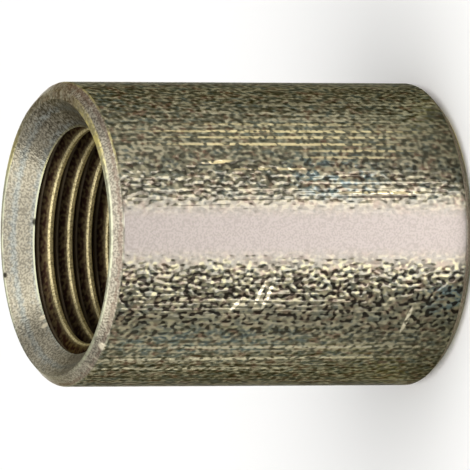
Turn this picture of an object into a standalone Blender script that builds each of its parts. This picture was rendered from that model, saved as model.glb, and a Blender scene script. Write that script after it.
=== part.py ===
"""Female pipe socket, half inch size.

One turned steel sleeve with a parallel 55 degree pipe thread tapped right through it.
Both ends are alike: a chamfer outside, a narrow flat land, and a countersunk mouth.
The socket stands on its lower end, +Z along its axis. Lengths are in metres.
"""

import math

import bmesh
import bpy
from mathutils import Matrix, Vector

MM = 0.001
INCH = 25.4 * MM

# Sleeve: the wall is measured outside the thread's roots
WALL = 2.7225 * MM
LENGTH = 34.0 * MM
RIM_CHAMFER = 0.85 * MM
RIM_CHAMFER_ANGLE = math.radians(45.0)
RIM_LAND = 0.35 * MM
MOUTH_ANGLE = math.radians(90.0)
EDGE_RADIUS = 0.12 * MM
LARGEST_SHARE = 1.0 / 3.0

# Thread: parallel, right hand, one start, and where its lowest whole turn starts
THREAD_MAJOR_DIAMETER = 20.955 * MM
THREADS_PER_INCH = 14
THREAD_ANGLE = math.radians(55.0)
THREAD_START = 0.95 * MM

# Fineness of the facets
FACETS = 40
ROOT_FACETS = 2
EDGE_FACETS = 2
HALF_FACET = 0.5 / FACETS
MERGE_DISTANCE = 0.001 * MM
TURNS_BEYOND_ENDS = 2

# Zinc coated steel
STEEL_COLOUR = (0.24, 0.22, 0.17, 1.0)
STEEL_METALLIC = 0.9
STEEL_ROUGHNESS = 0.42

# The 55 degree form: a sharp V, cut off at a sixth of its height at crest and root
THREAD_PITCH = INCH / THREADS_PER_INCH
FLANK_SLOPE = math.tan(THREAD_ANGLE / 2.0)
SHARP_HEIGHT = THREAD_PITCH / (2.0 * FLANK_SLOPE)
CUT_OFF = SHARP_HEIGHT / 6.0
THREAD_DEPTH = SHARP_HEIGHT - 2.0 * CUT_OFF
MAJOR_RADIUS = THREAD_MAJOR_DIAMETER / 2.0
MINOR_RADIUS = MAJOR_RADIUS - THREAD_DEPTH
OUTER_RADIUS = MAJOR_RADIUS + WALL


def clear_scene():
    """Remove every object that the file opened with."""
    for leftover in list(bpy.data.objects):
        bpy.data.objects.remove(leftover, do_unlink=True)


def make_collection(name):
    """Return a new collection that hangs from the scene's own one."""
    collection = bpy.data.collections.new(name)
    bpy.context.scene.collection.children.link(collection)
    return collection


def make_steel():
    """Return the zinc coated steel of the whole socket."""
    steel = bpy.data.materials.new("zinc_coated_steel")
    steel.use_nodes = True
    shader = steel.node_tree.nodes["Principled BSDF"]
    shader.inputs["Base Color"].default_value = STEEL_COLOUR
    shader.inputs["Metallic"].default_value = STEEL_METALLIC
    shader.inputs["Roughness"].default_value = STEEL_ROUGHNESS
    return steel


def draw_profile(name, points, collection):
    """Draw an open line through (radius, height) points in the XZ plane."""
    bm = bmesh.new()
    corners = [bm.verts.new((radius, 0.0, height)) for radius, height in points]
    for start, end in zip(corners, corners[1:]):
        bm.edges.new((start, end))
    mesh = bpy.data.meshes.new(name)
    bm.to_mesh(mesh)
    bm.free()
    drawn = bpy.data.objects.new(name, mesh)
    collection.objects.link(drawn)
    return drawn


def add_screw(obj, turns=1, rise=0.0):
    """Sweep the object's profile round Z, climbing by rise in each turn."""
    screw = obj.modifiers.new("Sweep", "SCREW")
    screw.axis = "Z"
    screw.angle = 2.0 * math.pi
    screw.iterations = turns
    screw.screw_offset = rise
    screw.steps = FACETS
    screw.render_steps = FACETS
    screw.use_merge_vertices = rise == 0.0
    screw.merge_threshold = MERGE_DISTANCE


def round_corner(before, corner, after):
    """Return the points of an arc that rounds one corner of a profile.

    The arc takes up no more than LARGEST_SHARE of either side of the corner.
    """
    tip = Vector(corner)
    side_in = Vector(before) - tip
    side_out = Vector(after) - tip
    half_angle = side_in.angle(side_out) / 2.0
    shorter_side = min(side_in.length, side_out.length)
    reach = min(EDGE_RADIUS / math.tan(half_angle), LARGEST_SHARE * shorter_side)
    start = tip + side_in.normalized() * reach
    end = tip + side_out.normalized() * reach
    middle_line = (side_in.normalized() + side_out.normalized()).normalized()
    pivot = tip + middle_line * reach / math.cos(half_angle)
    turn = (start - pivot).angle_signed(end - pivot)
    arc = []
    for step in range(EDGE_FACETS + 1):
        spoke = start - pivot
        spoke.rotate(Matrix.Rotation(-turn * step / EDGE_FACETS, 2))
        arc.append(tuple(pivot + spoke))
    return arc


def blank_outline():
    """Return the section of the turned blank, from its axis down its outer side to its axis.

    The blank is solid in the middle. Each mouth's cone runs on past the thread's minor
    radius, so that the tap leaves nothing of the core.
    """
    end_outer = OUTER_RADIUS - RIM_CHAMFER
    end_inner = end_outer - RIM_LAND
    chamfer_height = RIM_CHAMFER / math.tan(RIM_CHAMFER_ANGLE)
    core_radius = MINOR_RADIUS - THREAD_DEPTH
    core_depth = (end_inner - core_radius) / math.tan(MOUTH_ANGLE / 2.0)
    sharp = [
        (core_radius, LENGTH - core_depth),
        (end_inner, LENGTH),
        (end_outer, LENGTH),
        (OUTER_RADIUS, LENGTH - chamfer_height),
        (OUTER_RADIUS, LENGTH / 2.0),
    ]
    upper_half = [(0.0, LENGTH - core_depth), sharp[0]]
    for before, corner, after in zip(sharp, sharp[1:], sharp[2:]):
        upper_half += round_corner(before, corner, after)
    lower_half = [(radius, LENGTH - height) for radius, height in reversed(upper_half)]
    return upper_half + lower_half


def thread_outline():
    """Return one pitch of the thread's section, from mid crest to mid crest, at height 0.

    The crests lie at the minor radius, flat as drilled. The root is rounded.
    """
    half_angle = THREAD_ANGLE / 2.0
    root_round = CUT_OFF * math.sin(half_angle) / (1.0 - math.sin(half_angle))
    round_centre = MAJOR_RADIUS - root_round
    half_crest = CUT_OFF * FLANK_SLOPE
    root_sweep = math.pi / 2.0 - half_angle
    root = []
    for step in range(ROOT_FACETS + 1):
        angle = root_sweep * (2.0 * step / ROOT_FACETS - 1.0)
        radius = round_centre + root_round * math.cos(angle)
        root.append((radius, THREAD_PITCH / 2.0 + root_round * math.sin(angle)))
    lower_crest = (MINOR_RADIUS, half_crest)
    upper_crest = (MINOR_RADIUS, THREAD_PITCH - half_crest)
    return [lower_crest] + root + [upper_crest, (MINOR_RADIUS, THREAD_PITCH + half_crest)]


def make_blank(collection, steel):
    """Turn the blank: barrel, chamfers, lands and countersunk mouths."""
    blank = draw_profile("pipe_socket", blank_outline(), collection)
    add_screw(blank)
    blank.data.materials.append(steel)
    return blank


def make_tap(cutters):
    """Sweep the thread's section into a solid tap that is longer than the blank.

    The sweep leaves a spiral opening at each end, which is closed by a fan of faces
    round a point on the axis. The tap is turned by half a facet, so that its facets
    and the blank's never lie edge to edge.
    """
    turns = math.ceil(LENGTH / THREAD_PITCH) + TURNS_BEYOND_ENDS
    sketch = draw_profile("thread_sketch", thread_outline(), cutters)
    add_screw(sketch, turns, THREAD_PITCH)
    swept = bpy.data.meshes.new_from_object(
        sketch.evaluated_get(bpy.context.evaluated_depsgraph_get())
    )
    bpy.data.objects.remove(sketch, do_unlink=True)
    bm = bmesh.new()
    bm.from_mesh(swept)
    bmesh.ops.remove_doubles(bm, verts=bm.verts, dist=MERGE_DISTANCE)
    filled = bmesh.ops.holes_fill(bm, edges=[edge for edge in bm.edges if edge.is_boundary])
    bmesh.ops.poke(bm, faces=filled["faces"])
    bmesh.ops.recalc_face_normals(bm, faces=bm.faces)
    bm.to_mesh(swept)
    bm.free()
    tap = bpy.data.objects.new("tap", swept)
    cutters.objects.link(tap)
    tap.location.z = THREAD_START - THREAD_PITCH * (1.0 - HALF_FACET)
    tap.rotation_euler.z = 2.0 * math.pi * HALF_FACET
    tap.hide_render = True
    tap.display_type = "WIRE"
    return tap


def cut_thread(blank, tap):
    """Cut the threaded bore right through the blank."""
    cut = blank.modifiers.new("Thread", "BOOLEAN")
    cut.operation = "DIFFERENCE"
    cut.solver = "EXACT"
    cut.object = tap


def main():
    """Model the socket."""
    clear_scene()
    parts = make_collection("female_pipe_socket")
    cutters = make_collection("cutters")
    blank = make_blank(parts, make_steel())
    cut_thread(blank, make_tap(cutters))


main()
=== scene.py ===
"""Dressing of a half inch female pipe socket: a zinc coated steel sleeve, standing on its end.

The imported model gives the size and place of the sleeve. This script models the sleeve
finely, with its full internal thread, gives it its zinc coat, and sets up a pale studio.
Lengths are in metres and +Z runs up the sleeve's axis.
"""

from __future__ import annotations

import logging
import math
from dataclasses import dataclass, field
from enum import Enum
from functools import reduce
from typing import Any, Callable

import bpy
from mathutils import Matrix, Vector

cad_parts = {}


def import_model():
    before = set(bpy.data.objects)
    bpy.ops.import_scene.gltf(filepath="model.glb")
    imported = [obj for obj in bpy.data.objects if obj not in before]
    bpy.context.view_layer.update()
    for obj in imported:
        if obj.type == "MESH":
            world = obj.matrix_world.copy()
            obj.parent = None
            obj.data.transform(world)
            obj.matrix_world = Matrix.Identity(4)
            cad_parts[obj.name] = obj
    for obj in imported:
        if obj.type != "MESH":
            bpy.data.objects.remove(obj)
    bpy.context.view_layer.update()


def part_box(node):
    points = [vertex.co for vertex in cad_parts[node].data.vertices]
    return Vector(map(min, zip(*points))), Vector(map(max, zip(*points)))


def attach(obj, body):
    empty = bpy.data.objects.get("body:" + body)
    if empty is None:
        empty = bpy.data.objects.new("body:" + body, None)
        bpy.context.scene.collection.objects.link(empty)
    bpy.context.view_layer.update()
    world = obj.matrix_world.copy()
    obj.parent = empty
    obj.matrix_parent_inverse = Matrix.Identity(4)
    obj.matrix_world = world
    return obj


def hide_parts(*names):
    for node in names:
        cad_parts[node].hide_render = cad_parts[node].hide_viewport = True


MM = 0.001
MERGE_DISTANCE = 0.001 * MM
LEAST_SLOPE = 0.001
BUMP_SHARES = (1.0, 1.0, 0.4)
LOG = logging.getLogger("pipe_socket")

Colour = tuple[float, float, float]
Span = tuple[float, float]
WHITE: Colour = (1.0, 1.0, 1.0)


class Sum(Enum):
    """The operations of a Math node that the finishes use."""

    ADD = "ADD"
    SUBTRACT = "SUBTRACT"
    MULTIPLY = "MULTIPLY"
    DIVIDE = "DIVIDE"
    LESSER = "MINIMUM"
    GREATER = "MAXIMUM"
    SIZE = "ABSOLUTE"
    FRACTION = "FRACT"
    ANGLE = "ARCTAN2"
    ROOT = "SQRT"
    BEYOND = "GREATER_THAN"


class Shade:
    """A shader value that takes part in Python expressions.

    Args:
        bench: The node tree that the value belongs to.
        socket: The output socket that carries it.
    """

    def __init__(self, bench: Bench, socket: bpy.types.NodeSocket) -> None:
        """Wrap one output socket."""
        self.bench = bench
        self.socket = socket

    def __add__(self, other: Shade | float) -> Shade:
        """Return self + other."""
        return self.bench.maths(Sum.ADD, self, other)

    def __radd__(self, other: float) -> Shade:
        """Return other + self."""
        return self.bench.maths(Sum.ADD, other, self)

    def __sub__(self, other: Shade | float) -> Shade:
        """Return self - other."""
        return self.bench.maths(Sum.SUBTRACT, self, other)

    def __rsub__(self, other: float) -> Shade:
        """Return other - self."""
        return self.bench.maths(Sum.SUBTRACT, other, self)

    def __mul__(self, other: Shade | float) -> Shade:
        """Return self * other."""
        return self.bench.maths(Sum.MULTIPLY, self, other)

    def __rmul__(self, other: float) -> Shade:
        """Return other * self."""
        return self.bench.maths(Sum.MULTIPLY, other, self)

    def __truediv__(self, other: Shade | float) -> Shade:
        """Return self / other."""
        return self.bench.maths(Sum.DIVIDE, self, other)

    def __rtruediv__(self, other: float) -> Shade:
        """Return other / self."""
        return self.bench.maths(Sum.DIVIDE, other, self)

    def __abs__(self) -> Shade:
        """Return the size of self."""
        return self.bench.maths(Sum.SIZE, self)

    def scaled(self, low: float, high: float) -> Shade:
        """Return low where self is 0 and high where it is 1."""
        return low + self * (high - low)


class Bench:
    """The node tree of a material or world, and the few ways of adding to it.

    Args:
        owner: The material or world.
    """

    def __init__(self, owner: bpy.types.Material | bpy.types.World) -> None:
        """Start the owner's node tree empty.

        Args:
            owner: The material or world.
        """
        self.owner = owner
        owner.use_nodes = True
        self.tree = owner.node_tree
        self.tree.nodes.clear()

    def node(
        self,
        kind: str,
        settings: dict[str, Any] | None = None,
        sockets: dict[str | int, Any] | None = None,
    ) -> bpy.types.Node:
        """Add one node.

        Args:
            kind: The node's type.
            settings: Its properties, which are set first.
            sockets: Values or links for its inputs, by name or number.

        Returns:
            The new node.
        """
        made = self.tree.nodes.new(kind)
        for key, value in (settings or {}).items():
            setattr(made, key, value)
        for key, value in (sockets or {}).items():
            self.plug(made, key, value)
        return made

    def plug(self, node: bpy.types.Node, key: str | int, value: Any) -> None:
        """Give an input a value or a link.

        Args:
            node: The node that has the input.
            key: The input's name or number.
            value: A number, a colour, a Shade or an output socket.
        """
        if isinstance(value, Shade):
            value = value.socket
        if isinstance(value, bpy.types.NodeSocket):
            self.tree.links.new(value, node.inputs[key])
        elif isinstance(value, tuple) and node.inputs[key].type == "RGBA":
            node.inputs[key].default_value = (*value, 1.0)
        else:
            node.inputs[key].default_value = value

    def maths(self, step: Sum, first: Shade | float, second: Shade | float | None = None) -> Shade:
        """Add a Math node.

        Args:
            step: The operation.
            first: The first operand.
            second: The second operand, where the operation takes one.

        Returns:
            The result.
        """
        sockets: dict[str | int, Any] = {0: first}
        if second is not None:
            sockets[1] = second
        made = self.node("ShaderNodeMath", {"operation": step.value}, sockets)
        return Shade(self, made.outputs[0])

    def ramp(self, value: Shade, low: float, high: float) -> Shade:
        """Return a smooth step of a value, from 0 at low to 1 at high.

        Args:
            value: What is measured.
            low: Where the result is 0.
            high: Where the result is 1, above or below low.

        Returns:
            The step, held between 0 and 1.
        """
        made = self.node(
            "ShaderNodeMapRange",
            {"interpolation_type": "SMOOTHSTEP"},
            {"Value": value, "From Min": low, "From Max": high},
        )
        return Shade(self, made.outputs["Result"])

    def colour_mix(self, factor: Shade | float, low: Any, high: Any) -> Shade:
        """Return a colour between two others.

        Args:
            factor: 0 gives low and 1 gives high.
            low: A colour or a Shade.
            high: A colour or a Shade.

        Returns:
            The mixed colour.
        """
        made = self.node("ShaderNodeMix", {"data_type": "RGBA"}, {0: factor, 6: low, 7: high})
        return Shade(self, made.outputs[2])

    def vector(self, step: str, *operands: Any) -> Shade:
        """Add a Vector Math node.

        Args:
            step: The operation, as the node names it.
            operands: Its vectors.

        Returns:
            The resulting vector.
        """
        made = self.node("ShaderNodeVectorMath", {"operation": step}, dict(enumerate(operands)))
        return Shade(self, made.outputs["Vector"])

    def bounded_bump(self, relief: Shade, rise: float, steepest: Shade) -> Shade:
        """Return the normal of a relief whose slopes are held below a limit, and softer along Z.

        Args:
            relief: The relief's height, between about 0 and 1.
            rise: How high 1 stands, in metres.
            steepest: The steepest slope that is kept.

        Returns:
            The normal.
        """
        even = Shade(self, self.node("ShaderNodeNewGeometry").outputs["Normal"])
        bump = self.node("ShaderNodeBump", sockets={"Strength": 1.0, "Distance": rise, "Height": relief})
        lean = self.vector("MULTIPLY", self.vector("SUBTRACT", bump.outputs[0], even), BUMP_SHARES)
        made = self.node("ShaderNodeVectorMath", {"operation": "LENGTH"}, {0: lean})
        slope = self.maths(Sum.GREATER, Shade(self, made.outputs["Value"]), LEAST_SLOPE)
        share = self.maths(Sum.LESSER, steepest / slope, 1.0)
        scaled = self.node("ShaderNodeVectorMath", {"operation": "SCALE"}, {0: lean, "Scale": share})
        total = self.vector("ADD", even, scaled.outputs["Vector"])
        return self.vector("NORMALIZE", total)


@dataclass(frozen=True)
class Noise:
    """A noise of average 0.5 over the sleeve.

    Args:
        per_metre: How many grains lie along a metre.
        along: Share of that along the sleeve's axis. Below 1 the grains are longer that way.
        detail: How many finer layers are added.
    """

    per_metre: float
    along: float = 1.0
    detail: float = 0.0

    def at(self, bench: Bench, place: Shade) -> Shade:
        """Return the noise's value.

        Args:
            bench: The coat's node tree.
            place: The point on the sleeve.

        Returns:
            The value.
        """
        squeezed = bench.node(
            "ShaderNodeMapping", sockets={"Vector": place, "Scale": (1.0, 1.0, self.along)}
        )
        made = bench.node(
            "ShaderNodeTexNoise",
            {"noise_dimensions": "3D"},
            {"Vector": squeezed.outputs[0], "Scale": self.per_metre, "Detail": self.detail},
        )
        return Shade(bench, made.outputs["Fac"])


class Pick:
    """Ways of selecting parts of the mesh in edit mode by their place."""

    @staticmethod
    def edges(wanted: Callable[[Vector, Vector], bool]) -> None:
        """Select the edges whose two ends pass a test.

        Args:
            wanted: Tells from an edge's two ends whether it is selected.
        """
        mesh = Pick.clean_slate("EDGE")
        for edge in mesh.edges:
            start, end = (mesh.vertices[index].co for index in edge.vertices)
            edge.select = wanted(start, end)
        bpy.ops.object.mode_set(mode="EDIT")

    @staticmethod
    def faces(wanted: Callable[[Vector], bool]) -> None:
        """Select the faces whose normal passes a test.

        Args:
            wanted: Tells from a face's normal whether it is selected.
        """
        mesh = Pick.clean_slate("FACE")
        for face in mesh.polygons:
            face.select = wanted(face.normal)
        bpy.ops.object.mode_set(mode="EDIT")

    @staticmethod
    def clean_slate(kind: str) -> bpy.types.Mesh:
        """Deselect all of the active mesh and leave edit mode.

        Args:
            kind: The selection mode to work in.

        Returns:
            The mesh, in object mode.
        """
        bpy.ops.object.mode_set(mode="EDIT")
        bpy.ops.mesh.select_mode(type=kind)
        bpy.ops.mesh.select_all(action="DESELECT")
        bpy.ops.object.mode_set(mode="OBJECT")
        return bpy.context.object.data


def draw_line(name: str, points: list[Span]) -> bpy.types.Object:
    """Draw a line in the XZ plane by extruding one vertex from point to point.

    Args:
        name: The new object's name.
        points: The line's corners, as radius and height.

    Returns:
        The line's object, at the origin.
    """
    bpy.ops.object.select_all(action="DESELECT")
    bpy.ops.mesh.primitive_plane_add(size=MM, location=(points[0][0], 0.0, points[0][1]))
    line = bpy.context.object
    line.name = name
    bpy.ops.object.transform_apply(location=True, rotation=True, scale=True)
    bpy.ops.object.mode_set(mode="EDIT")
    bpy.ops.mesh.select_mode(type="VERT")
    bpy.ops.mesh.select_all(action="SELECT")
    bpy.ops.mesh.merge(type="CENTER")
    for start, end in zip(points, points[1:]):
        step = (end[0] - start[0], 0.0, end[1] - start[1])
        bpy.ops.mesh.extrude_region_move(TRANSFORM_OT_translate={"value": step})
    bpy.ops.object.mode_set(mode="OBJECT")
    return line


@dataclass
class ThreadForm:
    """The 55 degree form of the pipe thread, with one start, right hand.

    Args:
        major_radius: Radius at the roots.
        pitch: Height of one turn.
        angle: Angle between the flanks.
        start: Height at which the lowest whole turn starts.
        crest_round: Radius of the crest's two edges.
        root_chords: Chords across the round of a root.
        crest_chords: Chords across the round of a crest's edge.
    """

    major_radius: float = 20.955 * MM / 2.0
    pitch: float = 25.4 * MM / 14.0
    angle: float = math.radians(55.0)
    start: float = 0.95 * MM
    crest_round: float = 0.06 * MM
    root_chords: int = 6
    crest_chords: int = 3

    @property
    def slope(self) -> float:
        """Rise of a flank for each unit of radius."""
        return math.tan(self.angle / 2.0)

    @property
    def cut_off(self) -> float:
        """Height that is cut off the sharp V at crest and root."""
        return self.pitch / (2.0 * self.slope) / 6.0

    @property
    def minor_radius(self) -> float:
        """Radius at the crests."""
        return self.major_radius - 4.0 * self.cut_off

    def outline(self) -> list[Span]:
        """Return one pitch of the section, from mid crest up to the next mid crest.

        Returns:
            Points as radius and height.
        """
        half = self.angle / 2.0
        root_round = self.cut_off * math.sin(half) / (1.0 - math.sin(half))
        sweep = math.pi / 2.0 - half
        root_centre = (self.major_radius - root_round, self.pitch / 2.0)
        root = self.arc(root_centre, root_round, (-sweep, sweep), self.root_chords)
        half_crest = self.cut_off * self.slope
        crest_end = half_crest - self.crest_round * math.tan(sweep / 2.0)
        edge_centre = (self.minor_radius + self.crest_round, crest_end)
        lower_edge = self.arc(edge_centre, self.crest_round, (math.pi, math.pi - sweep), self.crest_chords)
        upper_edge = [(radius, self.pitch - height) for radius, height in reversed(lower_edge)]
        next_crest = (self.minor_radius, self.pitch + crest_end)
        return lower_edge + root + upper_edge + [next_crest]

    @staticmethod
    def arc(centre: Span, size: float, sweep: Span, chords: int) -> list[Span]:
        """Return the points of an arc in the section.

        Args:
            centre: Radius and height of the arc's centre.
            size: The arc's own radius.
            sweep: Angles of its first and last points, from outwards towards up.
            chords: Number of chords.

        Returns:
            Points as radius and height.
        """
        start, end = sweep
        angles = [start + (end - start) * step / chords for step in range(chords + 1)]
        return [
            (centre[0] + size * math.cos(angle), centre[1] + size * math.sin(angle)) for angle in angles
        ]


class Effect(Enum):
    """What a mark does to the coat."""

    BRIGHT = "worn bright"
    DARK = "dark and deep"
    COOL = "tinted blue"


@dataclass(frozen=True)
class Mark:
    """A scratch, nick, drawn line or patch of the real socket. Its sizes are in millimetres.

    Args:
        effect: What it does to the coat.
        place: Its middle.
        half_width: Half its width.
        half_length: Half its length.
        tilt: Angle between its length and the sleeve's axis, in degrees.
        half_depth: How far it reaches in and out from its middle.
        strength: How strongly it shows, up to 1.
        fade: Shares of its size at which it starts to show and shows in full.
    """

    effect: Effect
    place: tuple[float, float, float]
    half_width: float
    half_length: float
    tilt: float = 0.0
    half_depth: float = 1.5
    strength: float = 1.0
    fade: Span = (1.0, 0.4)

    def mask(self, bench: Bench, place: Shade) -> Shade:
        """Return the mark's mask.

        Args:
            bench: The coat's node tree.
            place: The point on the sleeve.

        Returns:
            The mask, from 0 outside to the mark's strength inside.
        """
        local = bench.node(
            "ShaderNodeMapping",
            {"vector_type": "TEXTURE"},
            {
                "Vector": place,
                "Location": tuple(value * MM for value in self.place),
                "Rotation": (math.radians(self.tilt), 0.0, math.atan2(self.place[1], self.place[0])),
                "Scale": (self.half_depth * MM, self.half_width * MM, self.half_length * MM),
            },
        )
        away = bench.node("ShaderNodeVectorMath", {"operation": "LENGTH"}, {0: local.outputs[0]})
        return bench.ramp(Shade(bench, away.outputs["Value"]), *self.fade) * self.strength


MARKS = (
    Mark(Effect.BRIGHT, (9.50, -9.2, 17.0), 0.22, 13.0, strength=0.45),
    Mark(Effect.BRIGHT, (8.89, -9.8, 17.0), 0.22, 17.0, strength=0.75),
    Mark(Effect.BRIGHT, (8.32, -10.2, 17.0), 0.20, 15.0, strength=0.65),
    Mark(Effect.BRIGHT, (7.76, -10.7, 18.0), 0.20, 15.0, strength=0.75),
    Mark(Effect.BRIGHT, (7.20, -11.1, 10.0), 0.18, 7.0, strength=0.55),
    Mark(Effect.BRIGHT, (6.60, -11.4, 11.0), 0.17, 6.0, strength=0.5),
    Mark(Effect.BRIGHT, (5.60, -11.9, 19.0), 0.17, 6.0, strength=0.5),
    Mark(Effect.BRIGHT, (3.60, -12.7, 8.5), 0.18, 5.0, strength=0.7),
    Mark(Effect.BRIGHT, (-9.73, -8.9, 16.0), 0.26, 22.0, strength=0.5),
    Mark(Effect.BRIGHT, (-10.7, -7.7, 20.0), 0.28, 20.0, 0.6, strength=0.6),
    Mark(Effect.BRIGHT, (-11.6, -6.3, 25.0), 0.34, 14.0, strength=0.5),
    Mark(Effect.BRIGHT, (6.20, -11.65, 23.8), 0.22, 1.9, 5.0),
    Mark(Effect.BRIGHT, (-6.10, -11.7, 22.1), 0.24, 1.0, 55.0),
    Mark(Effect.BRIGHT, (-5.10, -12.2, 20.0), 0.22, 1.5, 73.0),
    Mark(Effect.BRIGHT, (-5.20, -12.1, 19.2), 0.25, 1.9, 75.0),
    Mark(Effect.BRIGHT, (-7.45, -10.9, 5.6), 0.25, 1.8, 80.0),
    Mark(Effect.BRIGHT, (-7.25, 7.3, 32.10), 0.36, 0.45, half_depth=0.50),
    Mark(Effect.BRIGHT, (-7.95, 6.7, 32.15), 0.34, 0.45, half_depth=0.50),
    Mark(Effect.BRIGHT, (-9.60, -8.8, 33.25), 0.55, 0.50, half_depth=0.8),
    Mark(Effect.DARK, (1.07, 9.72, 31.80), 0.45, 0.40, half_depth=0.45),
    Mark(Effect.DARK, (-3.56, 11.47, 33.93), 0.35, 0.25, half_depth=0.25),
    Mark(Effect.DARK, (3.25, -12.8, 8.5), 0.20, 5.0, strength=0.85),
    Mark(Effect.DARK, (-3.45, -12.7, 26.0), 0.22, 1.6, strength=0.9),
    Mark(Effect.COOL, (4.90, -12.2, 13.0), 2.6, 5.6),
    Mark(Effect.COOL, (-5.60, -11.9, 2.3), 2.0, 2.6),
    Mark(Effect.COOL, (-9.40, -9.3, 24.0), 2.0, 12.0, strength=0.6),
)


@dataclass(frozen=True)
class Patches:
    """Ragged patches, where a noise lies beyond a level.

    Args:
        noise: The noise.
        span: Its values where the patches' mask is 0 and 1.
    """

    noise: Noise
    span: Span

    def at(self, bench: Bench, place: Shade) -> Shade:
        """Return the patches' mask at a place."""
        return bench.ramp(self.noise.at(bench, place), *self.span)


@dataclass(frozen=True)
class Wear:
    """Where the sleeve has wear, pits and stains, and where highlights and shade are painted on it.

    A span holds the two values at which its mask is 0 and 1. A band holds its middle and half
    width. A range holds how strongly a mask shows where its factor is 0 and 1.

    Args:
        strip_middle: X of the middle of the front strip: smoother, its colour an even painted highlight
            glare.
        strip: Span of the strip, from its middle.
        front: Span of Y over which the barrel's front begins.
        lower_pits_and_shade: Band of X below the strip, with deeper pits and painted shade.
        upper_pits_and_shade: Band of X above the strip, with deeper pits and painted shade.
        upper_pits_and_shade_share: Depth of those beside the lower ones.
        turned: Span of all that is turned, from the barrel's radius.
        mouth: Span of the mouths, from the lands' inner radius.
        thread: Span of the thread, from the lands' inner radius.
        thread_skin: Span of the thread, from the mouths' cones.
        crest: Span of the bright crests, worn and partly a painted highlight, from the minor radius.
        flank: Span of the flanks that share some of that brightness, from the minor radius.
        flank_share: How much of it they share.
        root_width: Half width of the painted highlight line along the roots.
        lit_sides: Span of the distance from the middle, where the cones' far sides get painted light.
        lit_back: Span of Y there.
        lit_lip: Band of X of the lower lip, which gets painted light.
        lit_front: Span of Y there.
        rust: Span of X of the reddish brown on the outside chamfers.
        rust_patches: Its patches.
        rust_share: How strongly it shows.
        stain_rim: Span of the chamfers' stain, from the lands' outer radius.
        stain_width: Half width of the stain, and its distance from the shoulder.
        stain_noise: Noise that makes the stain ragged.
        stain_ragged: How far the noise moves it.
        burr: Band of the burr, outwards from the run-out's edge.
        burr_skin: Span of the burr, from the major radius.
        burr_sides: Span of the distance from the middle, where the burr shows.
        burr_range: Range of the burr there.
        lip: Span of the lips' bright line, worn and partly a painted highlight, from the lands' inner
            radius.
        lip_depth: Span of their depth.
        lip_front: Span of Y at the front.
        lip_back: Span of Y at the back.
        lip_range: Range of the lips, from the sides to front and back.
        lip_patches: Their patches.
        lip_patch_range: Range of the patches.
        lip_top: Span of X at the upper side.
        lip_top_range: Range of the lips there.
        shoulder_width: Half width of the shoulders' bright line, worn and partly a painted highlight.
        shoulder_skin: Span of the shoulders, from the barrel's radius.
        shoulder_range: Range of the shoulders, from the lower end to the upper.
        shoulder_patches: Their patches.
        shoulder_patch_range: Range of those patches.
    """

    strip_middle: float = 0.1 * MM
    strip: Span = (3.4 * MM, 1.0 * MM)
    front: Span = (0.0, -4.0 * MM)
    lower_pits_and_shade: Span = (-5.6 * MM, 4.4 * MM)
    upper_pits_and_shade: Span = (4.8 * MM, 2.6 * MM)
    upper_pits_and_shade_share: float = 0.5
    turned: Span = (-0.02 * MM, -0.09 * MM)
    mouth: Span = (0.03 * MM, -0.06 * MM)
    thread: Span = (0.0, -0.3 * MM)
    thread_skin: Span = (0.02 * MM, 0.06 * MM)
    crest: Span = (0.30 * MM, 0.12 * MM)
    flank: Span = (0.60 * MM, 0.0)
    flank_share: float = 0.3
    root_width: float = 0.16 * MM
    lit_sides: Span = (2.5 * MM, 6.0 * MM)
    lit_back: Span = (3.0 * MM, 5.5 * MM)
    lit_lip: Span = (-7.4 * MM, 2.6 * MM)
    lit_front: Span = (-3.0 * MM, -6.0 * MM)
    rust: Span = (10.2 * MM, 11.4 * MM)
    rust_patches: Patches = Patches(Noise(1400.0, detail=1.0), (0.34, 0.56))
    rust_share: float = 0.8
    stain_rim: Span = (-0.1 * MM, 0.1 * MM)
    stain_width: float = 0.20 * MM
    stain_noise: Noise = Noise(2200.0, detail=1.0)
    stain_ragged: float = 0.6 * MM
    burr: Span = (0.12 * MM, 0.28 * MM)
    burr_skin: Span = (0.05 * MM, -0.15 * MM)
    burr_sides: Span = (9.0 * MM, 5.0 * MM)
    burr_range: Span = (0.15, 1.0)
    lip: Span = (-0.12 * MM, -0.03 * MM)
    lip_depth: Span = (0.20 * MM, 0.08 * MM)
    lip_front: Span = (-3.0 * MM, -7.0 * MM)
    lip_back: Span = (7.5 * MM, 10.5 * MM)
    lip_range: Span = (0.1, 1.0)
    lip_patches: Patches = Patches(Noise(1600.0, detail=1.0), (0.35, 0.6))
    lip_patch_range: Span = (0.4, 1.0)
    lip_top: Span = (9.3 * MM, 11.2 * MM)
    lip_top_range: Span = (1.0, 0.4)
    shoulder_width: float = 0.13 * MM
    shoulder_skin: Span = (-0.3 * MM, -0.1 * MM)
    shoulder_range: Span = (0.1, 0.5)
    shoulder_patches: Patches = Patches(Noise(800.0, detail=1.0), (0.40, 0.65))
    shoulder_patch_range: Span = (0.1, 0.8)


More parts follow.
